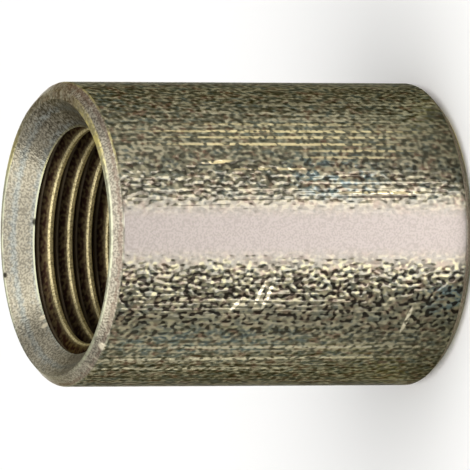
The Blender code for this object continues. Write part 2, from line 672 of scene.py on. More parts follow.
@dataclass
class Zones:
    """Masks of the sleeve's surfaces, each 1 inside its zone and 0 outside.

    Args:
        bench: The node tree that the masks belong to.
        socket: The sleeve that they follow.
        wear: Where the sleeve is worn.
        fade: Share of a band's half width within which its mask is 1.
    """

    bench: Bench
    socket: PipeSocket
    wear: Wear = Wear()
    fade: float = 0.3

    def __post_init__(self) -> None:
        """Measure where a point lies on the sleeve, and mark the scratches and patches."""
        bench, socket, thread = self.bench, self.socket, self.socket.thread
        self.place = Shade(bench, bench.node("ShaderNodeTexCoord").outputs["Object"])
        parts = bench.node("ShaderNodeSeparateXYZ", sockets={0: self.place})
        self.across, self.along, self.height = (Shade(bench, parts.outputs[axis]) for axis in range(3))
        self.radius = self.radius_round(0.0)
        self.mouth_radius = self.radius_round(socket.off_centre)
        self.thread_radius = self.radius_round(socket.thread_off_centre)
        self.depth = bench.maths(Sum.LESSER, self.height, socket.length - self.height)
        self.upper_end = bench.maths(Sum.BEYOND, self.height, socket.length / 2.0)
        angle = bench.maths(Sum.ANGLE, self.along, self.across + socket.thread_off_centre)
        turns_up = (self.height - thread.start) / thread.pitch - angle / (2.0 * math.pi)
        above_crest = bench.maths(Sum.FRACTION, turns_up + 0.5) - 0.5
        self.behind_crest = above_crest * self.upper_end.scaled(1.0, -1.0) * thread.pitch
        self.bright = self.marks(Effect.BRIGHT)
        self.dark = self.marks(Effect.DARK)
        self.cool = self.marks(Effect.COOL)

    def radius_round(self, off_centre: float) -> Shade:
        """Return the distance from an axis that lies off the barrel's own axis towards -X."""
        shifted = self.across + off_centre
        return self.bench.maths(Sum.ROOT, shifted * shifted + self.along * self.along)

    def marks(self, effect: Effect) -> Shade:
        """Return the mask of all the marks that have one effect."""
        masks = [mark.mask(self.bench, self.place) for mark in self.socket.marks if mark.effect is effect]
        return reduce(self.either, masks)

    def either(self, first: Shade, second: Shade) -> Shade:
        """Return the greater of two masks."""
        return self.bench.maths(Sum.GREATER, first, second)

    def rise(self, value: Shade, span: Span, base: float = 0.0) -> Shade:
        """Return a mask that rises from 0 to 1 over a span, which is measured from a base."""
        return self.bench.ramp(value, base + span[0], base + span[1])

    def near(self, value: Shade, middle: float, width: float) -> Shade:
        """Return 1 where a value is at its middle, falling to 0 at width on either side."""
        return self.bench.ramp(abs(value - middle), width, width * self.fade)

    def smooth_glare_strip(self) -> Shade:
        """Return the mask of the barrel's smoother front strip, coloured as an even painted highlight
        glare.
        """
        strip = self.rise(abs(self.across - self.wear.strip_middle), self.wear.strip)
        return strip * self.rise(self.along, self.wear.front)

    def pits_and_shade(self) -> Shade:
        """Return the mask of the bands beside the front strip, with deeper pits and painted shade.

        Returns:
            The mask.
        """
        upper = self.near(self.across, *self.wear.upper_pits_and_shade) * self.wear.upper_pits_and_shade_share
        either = self.either(self.near(self.across, *self.wear.lower_pits_and_shade), upper)
        return either * self.rise(self.along, self.wear.front)

    def machined(self) -> Shade:
        """Return the mask of all that is turned: chamfers, lands, mouths and thread."""
        return self.rise(self.radius, self.wear.turned, self.socket.outer_radius)

    def bore(self) -> Shade:
        """Return the mask of the thread, which lies outside the cones of the mouths.

        Returns:
            The mask.
        """
        slope = math.tan(self.socket.mouth_angle / 2.0)
        behind_cone = self.mouth_radius + self.depth * slope - self.socket.land_inner
        within = self.rise(self.mouth_radius, self.wear.thread, self.socket.land_inner)
        return within * self.rise(abs(behind_cone), self.wear.thread_skin)

    def cones(self) -> Shade:
        """Return the mask of all that lies inside the lands."""
        return self.rise(self.mouth_radius, self.wear.mouth, self.socket.land_inner)

    def crests(self) -> Shade:
        """Return the mask of the thread's bright crests: worn, and partly a painted highlight.

        Returns:
            The mask.
        """
        minor = self.socket.thread.minor_radius
        flank = self.rise(self.thread_radius, self.wear.flank, minor) * self.wear.flank_share
        return self.either(flank, self.rise(self.thread_radius, self.wear.crest, minor))

    def roots(self) -> Shade:
        """Return the mask of the painted highlight line along the thread's roots."""
        return self.near(self.thread_radius, self.socket.thread.major_radius, self.wear.root_width)

    def painted_light(self) -> Shade:
        """Return the mask of the cones' far sides and the lower lip, where light is painted on as brighter
        colour.

        Returns:
            The mask.
        """
        wear, cones = self.wear, self.cones()
        sides = self.rise(abs(self.across), wear.lit_sides) * self.rise(self.along, wear.lit_back)
        lip = self.near(self.across, *wear.lit_lip) * self.rise(self.along, wear.lit_front)
        return self.either(sides * cones, lip * (1.0 - cones))

    def rusty(self) -> Shade:
        """Return the mask of the reddish brown on the outside chamfers' upper side."""
        outside = self.rise(self.across, self.wear.rust) * (1.0 - self.cones())
        return outside * self.wear.rust_patches.at(self.bench, self.place) * self.wear.rust_share

    def stain(self) -> Shade:
        """Return the mask of the brown line on the chamfers, just inside the shoulder.

        Returns:
            The mask.
        """
        wear, socket = self.wear, self.socket
        outside = self.rise(self.radius, wear.stain_rim, socket.outer_radius - socket.chamfer)
        ragged = (wear.stain_noise.at(self.bench, self.place) - 0.5) * wear.stain_ragged
        line = self.near(self.depth + ragged, socket.chamfer - wear.stain_width, wear.stain_width)
        return line * outside

    def burr(self) -> Shade:
        """Return the mask of the burr where the thread runs out into the mouths' cones.

        Returns:
            The mask.
        """
        wear, thread = self.wear, self.socket.thread
        climb = (self.behind_crest - thread.cut_off * thread.slope) / thread.slope
        level = self.bench.maths(Sum.LESSER, climb, thread.major_radius - thread.minor_radius)
        run_out = self.bench.maths(Sum.GREATER, level, 0.0) + thread.minor_radius
        within = self.rise(self.thread_radius, wear.burr_skin, thread.major_radius)
        sides = self.rise(abs(self.across), wear.burr_sides).scaled(*wear.burr_range)
        return self.near(self.thread_radius - run_out, *wear.burr) * within * sides

    def lips(self) -> Shade:
        """Return the mask of the mouths' lips: worn, and partly a painted highlight, strongest at front
        and back.

        Returns:
            The mask.
        """
        wear = self.wear
        ring = self.rise(self.mouth_radius, wear.lip, self.socket.land_inner)
        ring = ring * self.rise(self.depth, wear.lip_depth)
        ends = self.either(self.rise(self.along, wear.lip_front), self.rise(self.along, wear.lip_back))
        patchy = wear.lip_patches.at(self.bench, self.place).scaled(*wear.lip_patch_range)
        top = self.rise(self.across, wear.lip_top).scaled(*wear.lip_top_range)
        return ring * ends.scaled(*wear.lip_range) * patchy * top

    def shoulders(self) -> Shade:
        """Return the mask of the shoulders between barrel and chamfers: worn, and partly a painted
        highlight.

        Returns:
            The mask.
        """
        wear, socket = self.wear, self.socket
        line = self.near(self.depth, socket.chamfer, wear.shoulder_width)
        outside = self.rise(self.radius, wear.shoulder_skin, socket.outer_radius)
        broken = wear.shoulder_patches.at(self.bench, self.place).scaled(*wear.shoulder_patch_range)
        return line * self.upper_end.scaled(*wear.shoulder_range) * outside * broken

    def edges(self) -> Shade:
        """Return the mask of the rim's edges, worn and partly a painted highlight, and of the thread's
        run-out.
        """
        return self.either(self.either(self.lips(), self.shoulders()), self.burr())


@dataclass
class Grains:
    """The coat's noises on one sleeve, and the masks that are drawn from them.

    Args:
        zones: The sleeve's masks.
        coarse_noise: The coat's coarse grain.
        fine_noise: Its fine grain.
        grit_noise: The grit on what is turned.
        drift_noise: The drift from warmer patches to cooler ones.
        row_lines: Thin ridges drawn along the tube.
        row_places: Patches that have such ridges.
        ring_drift: How far along the axis the turned rings drift with the radius.
        shaded_top_span: Span of X over which the cones' upper side is darkened, a painted shade.
        shaded_top_back: Span of Y over which that painted shade fades.
        row_weight: How far the ridges stand out of the valleys.
        valley: Span of the valleys.
        valley_range: Range of the valleys, from the even coat to the bands of deeper pits and painted
            shade.
        lit_band: Band of X where the highest grains get the brightest painted glints.
        lit_pits: How much of those painted glints the bands of pits and shade get.
        peak: Span of the highest grains.
        peak_range: Range of those grains, from the rest of the barrel to the lit band.
        dot: Span of the grains on which a scratch shows.
    """

    zones: Zones
    coarse_noise: Noise = Noise(2500.0, 0.75)
    fine_noise: Noise = Noise(2900.0, 0.8)
    grit_noise: Noise = Noise(5600.0)
    drift_noise: Noise = Noise(1300.0, 0.7, 2.0)
    row_lines: Patches = Patches(Noise(2500.0, 0.03), (0.50, 0.64))
    row_places: Patches = Patches(Noise(160.0, 0.5, 1.0), (0.40, 0.55))
    ring_drift: float = 0.3
    shaded_top_span: Span = (6.0 * MM, 9.0 * MM)
    shaded_top_back: Span = (8.0 * MM, 4.5 * MM)
    row_weight: float = 0.05
    valley: Span = (0.50, 0.40)
    valley_range: Span = (0.3, 1.0)
    lit_band: Span = (-3.9 * MM, 3.0 * MM)
    lit_pits: float = 0.5
    peak: Span = (0.54, 0.72)
    peak_range: Span = (0.1, 1.0)
    dot: Span = (0.32, 0.50)

    def __post_init__(self) -> None:
        """Read the noises, and mark the valleys and the peaks."""
        zones, bench = self.zones, self.zones.bench
        self.coarse = self.coarse_noise.at(bench, zones.place)
        self.fine = self.fine_noise.at(bench, zones.place)
        self.grit = self.grit_noise.at(bench, zones.place)
        self.drift = self.drift_noise.at(bench, zones.place)
        self.rows = self.row_lines.at(bench, zones.place) * self.row_places.at(bench, zones.place)
        self.machined = zones.machined()
        # The front strip: smoother, and its colour an even painted highlight glare without grain or pits.
        self.smooth_glare_strip = zones.smooth_glare_strip()
        self.even = 1.0 - self.smooth_glare_strip
        # Bands beside the front strip: deeper pits, and painted shade where their valleys and grains are
        # darkened.
        self.pits_and_shade = zones.pits_and_shade()
        # The cones' upper side is darkened: a painted shade.
        top = zones.rise(zones.across, self.shaded_top_span) * zones.cones()
        self.shaded_top = top * zones.rise(zones.along, self.shaded_top_back)
        mixed = (self.coarse + self.fine) * 0.5 + self.rows * self.row_weight
        low = zones.rise(mixed, self.valley)
        # Dark pits in the valleys, deepened into painted shade in the bands beside the strip.
        self.valleys = low * self.even * self.pits_and_shade.scaled(*self.valley_range)
        # The highest grains get painted glints, most in the lit band and the bands beside the strip.
        lit = zones.either(zones.near(zones.across, *self.lit_band), self.pits_and_shade * self.lit_pits)
        high = zones.rise(self.fine, self.peak)
        self.peaks = high * self.even * lit.scaled(*self.peak_range)
        self.dotted = zones.either(zones.rise(self.fine, self.dot), self.machined)

    def rings(self, per_metre: float) -> Shade:
        """Return a noise of average 0.5 that changes only from ring to ring of the turning.

        Args:
            per_metre: How many rings lie along a metre.

        Returns:
            The noise's value.
        """
        bench = self.zones.bench
        where = self.zones.mouth_radius + self.zones.depth * self.ring_drift
        made = bench.node(
            "ShaderNodeTexNoise",
            {"noise_dimensions": "1D"},
            {"W": where, "Scale": per_metre, "Detail": 1.0},
        )
        return Shade(bench, made.outputs["Fac"])


@dataclass(frozen=True)
class Tones:
    """The two ends of a range of colour.

    Args:
        low: The colour where a factor is 0.
        high: The colour where it is 1.
    """

    low: Colour
    high: Colour

    def mix(self, factor: Shade) -> Shade:
        """Return the colour for a factor."""
        return factor.bench.colour_mix(factor, self.low, self.high)


@dataclass(frozen=True)
class Layer:
    """The fixed colours of one layer of the coat.

    Args:
        worn: Worn edges, partly a painted highlight, at the lower side and the upper.
        stain: The stained line on the chamfers.
        flank: The thread's dark flanks, from pit to grain.
        root: The painted highlight line along the thread's roots.
        crest: The thread's bright crests, worn and partly a painted highlight, from pit to grain.
        pit: The dark marks.
        upper_side: Span of X from the lower side to the upper.
        flank_grain: Span of the fine grain on the flanks.
        crest_grain: Span of the grit on the crests.
        stain_and_shade_share: How strongly the stain shows.
        pit_share: How strongly the dark marks show.
    """

    worn: Tones
    stain: Colour
    flank: Tones
    root: Colour
    crest: Tones
    pit: Colour
    upper_side: Span = (4.0 * MM, 8.0 * MM)
    flank_grain: Span = (0.35, 0.70)
    crest_grain: Span = (0.25, 0.60)
    stain_and_shade_share: float = 0.45
    pit_share: float = 0.9

    def over(self, grains: Grains, barrel: Shade, turned: Shade, scratch: Shade) -> Shade:
        """Return the layer's colour over the whole sleeve.

        Args:
            grains: The coat's noises.
            barrel: The colour of the barrel.
            turned: The colour of chamfers, lands and mouths.
            scratch: The colour of the bright marks.

        Returns:
            The colour.
        """
        zones, bench = grains.zones, grains.zones.bench
        worn = self.worn.mix(zones.rise(zones.across, self.upper_side))
        flank = self.flank.mix(zones.rise(grains.fine, self.flank_grain))
        crest = self.crest.mix(zones.rise(grains.grit, self.crest_grain))
        rim = bench.colour_mix(grains.machined, barrel, turned)
        rim = bench.colour_mix(zones.stain() * self.stain_and_shade_share, rim, self.stain)
        # Lips and shoulders are worn edges, partly a painted highlight.
        rim = bench.colour_mix(zones.edges(), rim, worn)
        # A painted highlight line along the roots.
        thread = bench.colour_mix(zones.roots(), flank, self.root)
        # Crests: worn, and partly a painted highlight.
        thread = bench.colour_mix(zones.crests(), thread, crest)
        whole = bench.colour_mix(zones.bore(), rim, thread)
        whole = bench.colour_mix(zones.bright, whole, scratch)
        return bench.colour_mix(zones.dark * self.pit_share, whole, self.pit)


@dataclass(frozen=True)
class MetalSheen:
    """The metal of the coat: dull on the barrel, brighter where it is turned or worn, and where highlights
    are painted.

    Args:
        plain: Colour on the barrel.
        smooth_glare_strip: Colour on the front strip, an even painted highlight glare.
        peak: Colour on the highest grains, painted glints of the front highlight.
        brown: Colour in the barrel's warmer patches.
        blue: Colour in the barrel's bluish patches.
        oxide: Colour in the valleys and pits.
        turned: Colours on what is turned, plain and in the bluish rings.
        lit_gain: How much brighter the painted light makes the cones' far sides and the lower lip.
        rust: Colour where the chamfers are reddish brown.
        scratch: Colours in a scratch, on the barrel and on what is turned.
        others: Colours of the smaller surfaces.
        dull_grit: Span of the grit that dulls the front strip's painted glare.
        dull_share: How strongly it does.
        blue_drift: Span of the bluish patches.
        blue_range: Range of the blue, from the barrel to the marked patches.
        brown_drift: Span of the warmer patches.
        brown_share: How strongly they show.
        valley_share: How dark the valleys are.
        tint_rings: Bluish and plain rings along a metre.
        tint_grain: How far the fine grain breaks the rings up.
        tint: Span of the rings that are bluish.
        turned_pits: Span of the grit that is dark on what is turned.
        turned_pit_share: How dark it is.
        shade_pits: Span of the fine grain that is dark on the cones' upper side, a painted shade.
        stain_and_shade_share: How dark that painted shade is.
    """

    plain: Colour = (0.087, 0.083, 0.053)
    smooth_glare_strip: Colour = (0.091, 0.085, 0.067)
    peak: Colour = (0.125, 0.123, 0.062)
    brown: Colour = (0.090, 0.070, 0.048)
    blue: Colour = (0.068, 0.089, 0.074)
    oxide: Colour = (0.010, 0.008, 0.005)
    turned: Tones = Tones((0.365, 0.335, 0.260), (0.335, 0.355, 0.330))
    lit_gain: Colour = (1.45, 1.44, 1.40)
    rust: Colour = (0.155, 0.100, 0.068)
    scratch: Tones = Tones((0.34, 0.30, 0.17), (1.0, 0.90, 0.66))
    others: Layer = Layer(
        worn=Tones((0.60, 0.61, 0.44), (0.85, 0.75, 0.32)),
        stain=(0.16, 0.10, 0.07),
        flank=Tones((0.034, 0.016, 0.011), (0.100, 0.070, 0.034)),
        root=(0.14, 0.11, 0.07),
        crest=Tones((0.40, 0.33, 0.17), (0.88, 0.76, 0.43)),
        pit=(0.010, 0.008, 0.005),
    )
    dull_grit: Span = (0.60, 0.35)
    dull_share: float = 0.2
    blue_drift: Span = (0.60, 0.40)
    blue_range: Span = (0.12, 0.72)
    brown_drift: Span = (0.52, 0.68)
    brown_share: float = 0.25
    valley_share: float = 0.95
    tint_rings: float = 1500.0
    tint_grain: float = 0.3
    tint: Span = (0.35, 0.65)
    turned_pits: Span = (0.70, 0.30)
    turned_pit_share: float = 0.34
    shade_pits: Span = (0.65, 0.40)
    stain_and_shade_share: float = 0.5

    def colour(self, grains: Grains) -> Shade:
        """Return the metal's colour over the whole sleeve.

        Args:
            grains: The coat's noises.

        Returns:
            The colour.
        """
        zones, mix = grains.zones, grains.zones.bench.colour_mix
        # On the front strip the colour is an even painted highlight glare, dulled a little by grit.
        dulled = zones.rise(grains.grit, self.dull_grit) * self.dull_share
        sheen = mix(grains.smooth_glare_strip, self.plain, mix(dulled, self.smooth_glare_strip, self.oxide))
        blue = zones.rise(grains.drift, self.blue_drift) * zones.cool.scaled(*self.blue_range)
        sheen = mix(blue * grains.even, sheen, self.blue)
        brown = zones.rise(grains.drift, self.brown_drift) * grains.even * self.brown_share
        sheen = mix(brown, sheen, self.brown)
        # Painted glints on the highest grains.
        sheen = mix(grains.peaks, sheen, self.peak)
        barrel = mix(grains.valleys * self.valley_share, sheen, self.oxide)
        scratch = mix(grains.dotted, self.plain, self.scratch.mix(grains.machined))
        return self.others.over(grains, barrel, self.turned_colour(grains), scratch)

    def turned_colour(self, grains: Grains) -> Shade:
        """Return the metal's colour on chamfers, lands and mouths.

        Args:
            grains: The coat's noises.

        Returns:
            The colour.
        """
        zones, bench = grains.zones, grains.zones.bench
        rings = grains.rings(self.tint_rings) + (grains.fine - 0.5) * self.tint_grain
        plain = self.turned.mix(zones.rise(rings, self.tint) * zones.cones())
        # Painted light: the cones' far sides and the lower lip are brightened.
        lit = bench.vector("MULTIPLY", plain, self.lit_gain)
        rusty = bench.colour_mix(zones.rusty(), bench.colour_mix(zones.painted_light(), plain, lit), self.rust)
        gritty = zones.rise(grains.grit, self.turned_pits) * self.turned_pit_share
        # Painted shade: the cones' upper side is darker.
        shaded_top = zones.rise(grains.fine, self.shade_pits) * grains.shaded_top * self.stain_and_shade_share
        return bench.colour_mix(gritty + shaded_top, rusty, self.oxide)


@dataclass(frozen=True)
class MattGrains:
    """The matt grains of the coat.

    Args:
        olive: Their main colour.
        brown: Their colour in warmer patches.
        slate: Their colour in cooler patches.
        blue: Their colour in the bluish patches.
        pale: Colour of the brightest grains.
        pit: Colour of the pits between the grains.
        turned: Colours of the grit on what is turned, from pit to grain.
        scratch: Colours in a scratch, below the barrel's middle and above.
        turned_scratch: Colour in a scratch on what is turned.
        others: Colours of the smaller surfaces.
        brown_drift: Span of the warmer patches.
        slate_drift: Span of the cooler patches.
        blue_drift: Span of the bluish patches.
        pale_specks: Span of the pale grains.
        dark_specks: Span of the pits.
        row_specks: How far the drawn ridges lift the grains towards pale.
        pits_and_shade_share: How much of the grains' colours those bands lose, a painted shade.
        valley_share: How dark the valleys are.
        grit: Span of the grit on what is turned.
        shaded_top_range: Range of that grit, from the plain cones to their upper side, darkened as painted
            shade.
        middle: Span of X from below the barrel's middle to above.
    """

    olive: Colour = (0.100, 0.095, 0.059)
    brown: Colour = (0.150, 0.066, 0.040)
    slate: Colour = (0.068, 0.102, 0.092)
    blue: Colour = (0.09, 0.145, 0.14)
    pale: Colour = (0.50, 0.46, 0.28)
    pit: Colour = (0.008, 0.007, 0.006)
    turned: Tones = Tones((0.09, 0.075, 0.05), (0.60, 0.54, 0.40))
    scratch: Tones = Tones((0.70, 0.69, 0.50), (0.78, 0.66, 0.30))
    turned_scratch: Colour = (0.95, 0.86, 0.62)
    others: Layer = Layer(
        worn=Tones((0.56, 0.56, 0.36), (0.75, 0.62, 0.20)),
        stain=(0.17, 0.10, 0.07),
        flank=Tones((0.045, 0.021, 0.014), (0.14, 0.10, 0.045)),
        root=(0.15, 0.11, 0.07),
        crest=Tones((0.58, 0.49, 0.23), (0.58, 0.49, 0.23)),
        pit=(0.008, 0.007, 0.006),
    )
    brown_drift: Span = (0.52, 0.68)
    slate_drift: Span = (0.48, 0.34)
    blue_drift: Span = (0.60, 0.40)
    pale_specks: Span = (0.50, 0.78)
    dark_specks: Span = (0.50, 0.25)
    row_specks: float = 0.16
    pits_and_shade_share: float = 0.45
    valley_share: float = 0.85
    grit: Span = (0.3, 0.7)
    shaded_top_range: Span = (1.0, 0.4)
    middle: Span = (-2.0 * MM, 2.0 * MM)

    def colour(self, grains: Grains) -> Shade:
        """Return the grains' colour over the whole sleeve.

        Args:
            grains: The coat's noises.

        Returns:
            The colour.
        """
        zones, mix = grains.zones, grains.zones.bench.colour_mix
        # The grit turns darker on the cones' upper side: a painted shade.
        gritty = zones.rise(grains.grit, self.grit) * grains.shaded_top.scaled(*self.shaded_top_range)
        drawn = self.scratch.mix(zones.rise(zones.across, self.middle))
        drawn = mix(grains.machined, drawn, self.turned_scratch)
        scratch = mix(grains.dotted, self.olive, drawn)
        return self.others.over(grains, self.specks(grains), self.turned.mix(gritty), scratch)

    def specks(self, grains: Grains) -> Shade:
        """Return the grains' colour on the barrel.

        Args:
            grains: The coat's noises.

        Returns:
            The colour.
        """
        zones, mix = grains.zones, grains.zones.bench.colour_mix
        # The bands beside the front strip lose their grains' colours: a painted shade.
        share = grains.even - grains.pits_and_shade * self.pits_and_shade_share
        speck = grains.fine + grains.rows * self.row_specks
        tinted = mix(zones.rise(grains.drift, self.brown_drift) * share, self.olive, self.brown)
        tinted = mix(zones.rise(grains.drift, self.slate_drift) * share, tinted, self.slate)
        tinted = mix(zones.cool * zones.rise(grains.drift, self.blue_drift), tinted, self.blue)
        specked = mix(zones.rise(speck, self.pale_specks) * share, tinted, self.pale)
        specked = mix(zones.rise(speck, self.dark_specks) * share, specked, self.pit)
        return mix(grains.valleys * self.valley_share, specked, self.pit)


@dataclass(frozen=True)
class ZincCoat:
    """The dull zinc coat: a sheen of metal under matt grains, worn bright on edges and crests, partly as
    painted highlights.

    Args:
        metal: The metal.
        matt: The matt grains.
        cover: Share of the surface that is matt.
        metal_roughness: Roughness of the metal.
        matt_roughness: Roughness of the grains.
        edge_tint: Tint of the metal seen edge on.
        drawn_out: How far the metal draws its highlights out.
        drawn_turn: Direction in which it does, in turns.
        bump: Height of the relief.
        steepest: Steepest slope that is kept of it.
        steeper: How much steeper it may be in the bands of deeper pits.
        row_height: Height of the drawn ridges beside the grain.
        turned_range: Range of grain and ridges, from the barrel to what is turned.
        turning_rings: Turning marks along a metre.
        turning_height: Their height.
        grit_height: Height of the grit on what is turned.
        strip_smoothing: How much of the relief the front strip has lost.
        pits_and_shade_share: How much deeper the relief is in the bands of deeper pits.
    """

    metal: MetalSheen = MetalSheen()
    matt: MattGrains = MattGrains()
    cover: float = 0.20
    metal_roughness: float = 0.31
    matt_roughness: float = 0.9
    edge_tint: Colour = (0.33, 0.32, 0.27)
    drawn_out: float = 0.90
    drawn_turn: float = 0.25
    bump: float = 0.17 * MM
    steepest: float = 0.24
    steeper: float = 0.06
    row_height: float = 0.3
    turned_range: Span = (1.0, 0.1)
    turning_rings: float = 5200.0
    turning_height: float = 0.12
    grit_height: float = 0.10
    strip_smoothing: float = 0.75
    pits_and_shade_share: float = 0.4

    def make(self, socket: PipeSocket) -> bpy.types.Material:
        """Make the coat's material.

        Args:
            socket: The sleeve, for the sizes that place the wear.

        Returns:
            The material.
        """
        bench = Bench(bpy.data.materials.new("zinc_coat"))
        grains = Grains(Zones(bench, socket))
        normal = self.normal(grains)
        metal = bench.node(
            "ShaderNodeBsdfPrincipled",
            sockets={
                "Base Color": self.metal.colour(grains),
                "Metallic": 1.0,
                "Roughness": self.metal_roughness,
                "Specular Tint": self.edge_tint,
                "Anisotropic": self.drawn_out,
                "Anisotropic Rotation": self.drawn_turn,
                "Normal": normal,
            },
        )
        matt = bench.node(
            "ShaderNodeBsdfPrincipled",
            sockets={
                "Base Color": self.matt.colour(grains),
                "Roughness": self.matt_roughness,
                "Specular IOR Level": 0.0,
                "Normal": normal,
            },
        )
        both = bench.node(
            "ShaderNodeMixShader", sockets={0: self.cover, 1: metal.outputs[0], 2: matt.outputs[0]}
        )
        bench.node("ShaderNodeOutputMaterial", sockets={"Surface": both.outputs[0]})
        return bench.owner

    def normal(self, grains: Grains) -> Shade:
        """Return the normal of grain, drawn ridges and turning marks.

        Args:
            grains: The coat's noises.

        Returns:
            The normal.
        """
        machined = grains.machined
        turned = grains.rings(self.turning_rings) * self.turning_height + grains.grit * self.grit_height
        relief = grains.coarse + grains.rows * grains.even * self.row_height
        relief = relief * machined.scaled(*self.turned_range) + turned * machined
        relief = relief * (1.0 - grains.smooth_glare_strip * self.strip_smoothing + grains.pits_and_shade * self.pits_and_shade_share)
        steepest = self.steepest + grains.pits_and_shade * self.steeper
        return grains.zones.bench.bounded_bump(relief, self.bump, steepest)


@dataclass
class PipeSocket:
    """The sleeve: barrel, end chamfers, flat lands, countersunk mouths and through thread.

    Args:
        outer_radius: Radius of the barrel.
        length: Height from end face to end face.
        chamfer: Width and height of the outside chamfer.
        land: Width of the flat ring on each end.
        mouth_angle: Angle between the two sides of a mouth.
        shoulder_round: Width of the rounding between barrel and chamfer.
        rim_round: Width of the rounding between chamfer and land.
        lip_round: Width of the rounding between land and mouth.
        off_centre: How far the mouths lie off the barrel's axis, towards -X.
        thread_off_centre: How far the thread lies off the barrel's axis, towards -X.
        mouth_overrun: How far the mouths' cones run on inside the thread's crests.
        thread: The form of the thread.
        marks: The scratches, nicks, lines and patches of the coat.
        facets: Facets round the barrel.
        round_facets: Facets across each rounding.
        thread_facets: Facets round one turn of the thread.
        extra_turns: Turns of the tap beyond the sleeve.
        crease: Angle between faces, in degrees, above which their edge looks sharp.
        coat: The finish.
    """

    outer_radius: float
    length: float
    chamfer: float = 0.85 * MM
    land: float = 0.35 * MM
    mouth_angle: float = math.radians(90.0)
    shoulder_round: float = 0.16 * MM
    rim_round: float = 0.1 * MM
    lip_round: float = 0.05 * MM
    off_centre: float = 0.28 * MM
    thread_off_centre: float = 0.15 * MM
    mouth_overrun: float = 0.8 * MM
    thread: ThreadForm = field(default_factory=ThreadForm)
    marks: tuple[Mark, ...] = MARKS
    facets: int = 192
    round_facets: int = 4
    thread_facets: int = 112
    extra_turns: int = 2
    crease: float = 28.0
    coat: ZincCoat = ZincCoat()

    @property
    def land_inner(self) -> float:
        """Radius at which the mouth's cone meets the land."""
        return self.outer_radius - self.chamfer - self.land

    def turn_blank(self) -> bpy.types.Object:
        """Turn the solid blank with its chamfers, lands and the cones of its mouths.

        Returns:
            The blank.
        """
        bpy.ops.object.select_all(action="DESELECT")
        bpy.ops.mesh.primitive_cylinder_add(
            vertices=self.facets,
            radius=self.outer_radius,
            depth=self.length,
            location=(0.0, 0.0, self.length / 2.0),
        )
        blank = bpy.context.object
        blank.name = "sleeve"
        bpy.ops.object.transform_apply(location=True, rotation=True, scale=True)
        bpy.ops.object.mode_set(mode="EDIT")
        Pick.edges(lambda start, end: abs(start.z - end.z) < MERGE_DISTANCE)
        bpy.ops.mesh.bevel(offset=self.chamfer, segments=1, affect="EDGES")
        for up in (-1.0, 1.0):
            self.sink_mouth(up)
        for *ring, width in self.corners():
            Pick.edges(lambda start, end: self.on_corner(start, *ring) and self.on_corner(end, *ring))
            bpy.ops.mesh.bevel(offset=width, segments=self.round_facets, affect="EDGES")
        bpy.ops.object.mode_set(mode="OBJECT")
        return blank

    def sink_mouth(self, up: float) -> None:
        """Inset the land on one end and sink the mouth's cone inside it.

        Args:
            up: 1 for the upper end and -1 for the lower end.
        """
        Pick.faces(lambda normal: normal.z * up > 0.99)
        bpy.ops.mesh.inset(thickness=self.land)
        bpy.ops.transform.translate(value=(-self.off_centre, 0.0, 0.0))
        core_radius = self.thread.minor_radius - self.mouth_overrun
        sink = (self.land_inner - core_radius) / math.tan(self.mouth_angle / 2.0)
        bpy.ops.mesh.extrude_region_move(TRANSFORM_OT_translate={"value": (0.0, 0.0, -up * sink)})
        ratio = core_radius / self.land_inner
        floor_height = self.length / 2.0 + up * (self.length / 2.0 - sink)
        bpy.ops.transform.resize(
            value=(ratio, ratio, 1.0), center_override=(-self.off_centre, 0.0, floor_height)
        )

    def corners(self) -> list[tuple[float, float, float, float]]:
        """Return where the rim's corners lie.

        Returns:
            Each corner's radius, X of its centre, depth below the end, and width of rounding.
        """
        return [
            (self.outer_radius, 0.0, self.chamfer, self.shoulder_round),
            (self.outer_radius - self.chamfer, 0.0, 0.0, self.rim_round),
            (self.land_inner, -self.off_centre, 0.0, self.lip_round),
        ]

    def on_corner(self, place: Vector, radius: float, middle: float, depth: float) -> bool:
        """Tell whether a point lies on one corner ring of either end.

        Args:
            place: The point.
            radius: The ring's radius.
            middle: X of the ring's centre.
            depth: The ring's depth below the end face.

        Returns:
            True on the ring.
        """
        below = min(place.z, self.length - place.z)
        across = math.hypot(place.x - middle, place.y)
        return max(abs(across - radius), abs(below - depth)) < 4.0 * MERGE_DISTANCE

    def make_tap(self) -> bpy.types.Object:
        """Sweep the thread's section into a solid tap, longer than the sleeve.

        The tap is turned by half a facet, so that its facets never lie edge to edge
        with those of the blank.

        Returns:
            The tap.
        """
        turns = math.ceil(self.length / self.thread.pitch) + self.extra_turns
        tap = draw_line("tap", self.thread.outline())
        screw = tap.modifiers.new("Sweep", "SCREW")
        screw.axis = "Z"
        screw.angle = 2.0 * math.pi
        screw.iterations = turns
        screw.screw_offset = self.thread.pitch
        screw.steps = self.thread_facets
        screw.render_steps = self.thread_facets
        bpy.ops.object.modifier_apply(modifier=screw.name)
        bpy.ops.object.mode_set(mode="EDIT")
        bpy.ops.mesh.select_all(action="SELECT")
        bpy.ops.mesh.remove_doubles(threshold=MERGE_DISTANCE)
        bpy.ops.mesh.select_all(action="DESELECT")
        bpy.ops.mesh.select_mode(type="EDGE")
        bpy.ops.mesh.select_non_manifold(extend=False)
        bpy.ops.mesh.fill_holes(sides=0)
        bpy.ops.object.mode_set(mode="OBJECT")
        for face in tap.data.polygons:
            face.select = len(face.vertices) > self.thread_facets
        bpy.ops.object.mode_set(mode="EDIT")
        bpy.ops.mesh.select_mode(type="FACE")
        bpy.ops.mesh.poke()
        bpy.ops.mesh.select_all(action="SELECT")
        bpy.ops.mesh.normals_make_consistent(inside=False)
        bpy.ops.object.mode_set(mode="OBJECT")
        half_facet = 0.5 / self.thread_facets
        tap.rotation_euler.z = 2.0 * math.pi * half_facet
        tap.location.z = self.thread.start - self.thread.pitch * (1.0 - half_facet)
        tap.location.x = -self.thread_off_centre
        bpy.ops.object.transform_apply(location=True, rotation=True, scale=True)
        return tap

